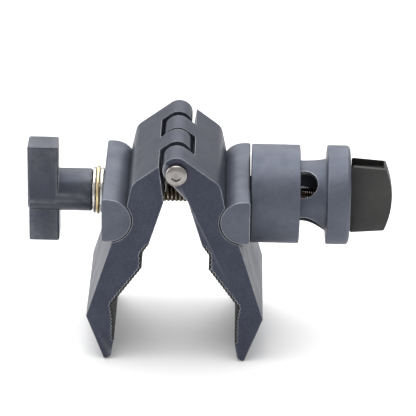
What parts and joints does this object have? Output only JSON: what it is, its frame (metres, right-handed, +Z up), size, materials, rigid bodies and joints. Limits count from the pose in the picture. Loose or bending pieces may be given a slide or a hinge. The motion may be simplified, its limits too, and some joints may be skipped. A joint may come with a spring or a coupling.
{
  "type": "super clamp",
  "caption": "Hinged jaw clamp drawn shut by a T-handle screw, with a swivelling stud receiver and a clamp knob on the other side.",
  "frame": {"origin": "centre of the bounding box at floor level, where the jaw tips stand", "axes": "+X along the main screw towards the knob, +Y along the hinge pin to the back, +Z up"},
  "size_m": [0.1348, 0.0568, 0.0827],
  "materials": {
    "jaw": "bead-blasted blue-grey anodised aluminium",
    "bar": "bead-blasted blue-grey anodised aluminium",
    "receiver": "bead-blasted blue-grey anodised aluminium",
    "handle": "bead-blasted blue-grey anodised aluminium",
    "pad": "black ribbed rubber",
    "stainless": "polished stainless steel",
    "screw": "rolled stainless thread",
    "black_steel": "black oxide steel",
    "brass": "brushed brass",
    "knob": "matt black moulded plastic"
  },
  "bodies": {
    "right_bar": {"right_bar": "bar", "receiver_collar": "receiver", "collar_screw_front": "black_steel", "collar_screw_back": "black_steel"},
    "right_jaw": {"right_jaw": "jaw", "right_pad": "pad", "hinge_screw": "stainless", "hinge_nut": "stainless"},
    "left_jaw": {"left_jaw": "jaw", "left_pad": "pad", "hinge_spring_front": "stainless", "hinge_spring_back": "stainless"},
    "left_bar": {"left_bar": "bar", "inner_washer": "stainless", "brass_washer": "brass", "outer_washer": "stainless"},
    "handle": {"t_handle": "handle", "handle_set_screw": "black_steel", "main_screw": "screw"},
    "post_ring": {"post_retaining_ring": "black_steel"},
    "post": {"receiver_post": "receiver"},
    "clamp_tip": {"clamp_screw_tip": "brass"},
    "knob": {"clamp_knob": "knob", "clamp_screw": "screw"}
  },
  "joints": [
    {"name": "right_jaw_swing", "type": "hinge", "parent": "right_bar", "child": "right_jaw", "pos_m": [0.01243, 0, 0.05695], "axis": [0, 1, 0], "range_deg": [-3.55, 15.05]},
    {"name": "jaw_hinge", "type": "hinge", "parent": "right_jaw", "child": "left_jaw", "pos_m": [-0.01227, 0, 0.07605], "axis": [0, 1, 0], "range_deg": [-30.1, 7.1]},
    {"name": "left_bar_swing", "type": "hinge", "parent": "left_jaw", "child": "left_bar", "pos_m": [-0.03698, 0, 0.05695], "axis": [0, 1, 0], "range_deg": [-3.55, 15.05]},
    {"name": "handle_turn", "type": "hinge", "parent": "left_bar", "child": "handle", "pos_m": [-0.04428, 0, 0.05695], "axis": [1, 0, 0], "range_deg": [-640, 2770]},
    {"name": "post_slide", "type": "slide", "parent": "right_bar", "child": "post_ring", "axis": [1, 0, 0], "range_m": [0, 0.008]},
    {"name": "post_swivel", "type": "hinge", "parent": "post_ring", "child": "post", "pos_m": [0.03433, 0, 0.05695], "axis": [1, 0, 0], "continuous": true},
    {"name": "clamp_travel", "type": "slide", "parent": "post", "child": "clamp_tip", "axis": [1, 0, 0], "range_m": [0, 0.0136]},
    {"name": "knob_turn", "type": "hinge", "parent": "clamp_tip", "child": "knob", "pos_m": [0.05203, 0, 0.05695], "axis": [1, 0, 0], "range_deg": [0, 6125]}
  ],
  "couplings": [
    {"joint": "right_jaw_swing", "follows": "handle_turn", "ratio": 0.0054152},
    {"joint": "jaw_hinge", "follows": "handle_turn", "ratio": -0.01083},
    {"joint": "left_bar_swing", "follows": "handle_turn", "ratio": 0.0054152},
    {"joint": "knob_turn", "follows": "clamp_travel", "rad_per_m": 7854}
  ]
}
